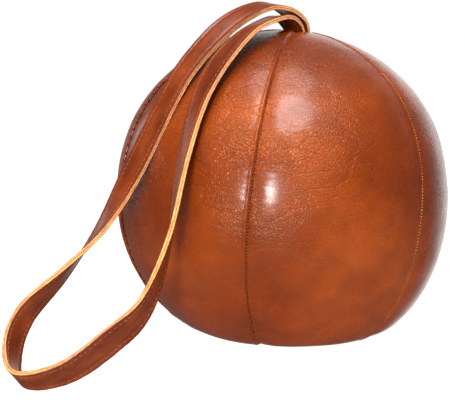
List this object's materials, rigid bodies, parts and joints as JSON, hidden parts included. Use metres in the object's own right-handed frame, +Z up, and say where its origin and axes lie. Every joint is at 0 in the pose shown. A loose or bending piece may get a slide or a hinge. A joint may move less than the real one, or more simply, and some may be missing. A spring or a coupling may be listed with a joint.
{
  "type": "medicine ball",
  "caption": "Leather-covered medicine ball sewn from gores over a fibre stuffing, with a long two-layer leather strap loop anchored in its crown for swinging and carrying.",
  "frame": {"origin": "centre of the flat face that the ball rests on", "axes": "+Z up, +X to the viewer's right and away from the strap loop, +Y away from the viewer; the strap loop lies at the front left, towards -X and -Y"},
  "size_m": [0.2505, 0.2572, 0.2053],
  "materials": {
    "ball_leather": "gloss",
    "strap_leather": "satin",
    "backing_canvas": "matte",
    "stuffing_fibre": "matte",
    "seam_thread": "matte",
    "strap_thread": "matte",
    "anchor_leather": "matte",
    "rivet_brass": "satin"
  },
  "bodies": {
    "ball": {"gore_leather_1": "ball_leather", "gore_leather_2": "ball_leather", "gore_leather_3": "ball_leather", "gore_leather_4": "ball_leather", "gore_leather_5": "ball_leather", "gore_leather_6": "ball_leather", "gore_backing_1": "backing_canvas", "gore_backing_2": "backing_canvas", "gore_backing_3": "backing_canvas", "gore_backing_4": "backing_canvas", "gore_backing_5": "backing_canvas", "gore_backing_6": "backing_canvas", "seam_thread_1": "seam_thread", "seam_thread_2": "seam_thread", "seam_thread_3": "seam_thread", "seam_thread_4": "seam_thread", "seam_thread_5": "seam_thread", "seam_thread_6": "seam_thread", "stuffing": "stuffing_fibre", "strap_root_over_outside": "strap_leather", "strap_root_over_inside": "strap_leather", "strap_root_under_outside": "strap_leather", "strap_root_under_inside": "strap_leather", "anchor_disc": "anchor_leather", "anchor_rivet_front": "rivet_brass", "anchor_rivet_far": "rivet_brass"},
    "strap_upper": {"strap_leg_over_outside": "strap_leather", "strap_leg_over_inside": "strap_leather", "strap_leg_over_outside_thread_front": "strap_thread", "strap_leg_over_outside_thread_far": "strap_thread", "strap_leg_over_inside_thread_front": "strap_thread", "strap_leg_over_inside_thread_far": "strap_thread", "strap_leg_under_outside": "strap_leather", "strap_leg_under_inside": "strap_leather", "strap_leg_under_outside_thread_front": "strap_thread", "strap_leg_under_outside_thread_far": "strap_thread", "strap_leg_under_inside_thread_front": "strap_thread", "strap_leg_under_inside_thread_far": "strap_thread"},
    "strap_end": {"strap_loop_outside": "strap_leather", "strap_loop_inside": "strap_leather", "strap_loop_outside_thread_front": "strap_thread", "strap_loop_outside_thread_far": "strap_thread", "strap_loop_inside_thread_front": "strap_thread", "strap_loop_inside_thread_far": "strap_thread"}
  },
  "joints": [
    {"name": "strap_lift", "type": "hinge", "parent": "ball", "child": "strap_upper", "pos_m": [-0.0005, -0.0005, 0.1945], "axis": [-0.8211, 0.5708, 0], "range_deg": [0, 80]},
    {"name": "strap_bend", "type": "hinge", "parent": "strap_upper", "child": "strap_end", "pos_m": [-0.05075, -0.06125, 0.16675], "axis": [-0.7251, 0.6861, -0.06], "range_deg": [0, 50]}
  ]
}
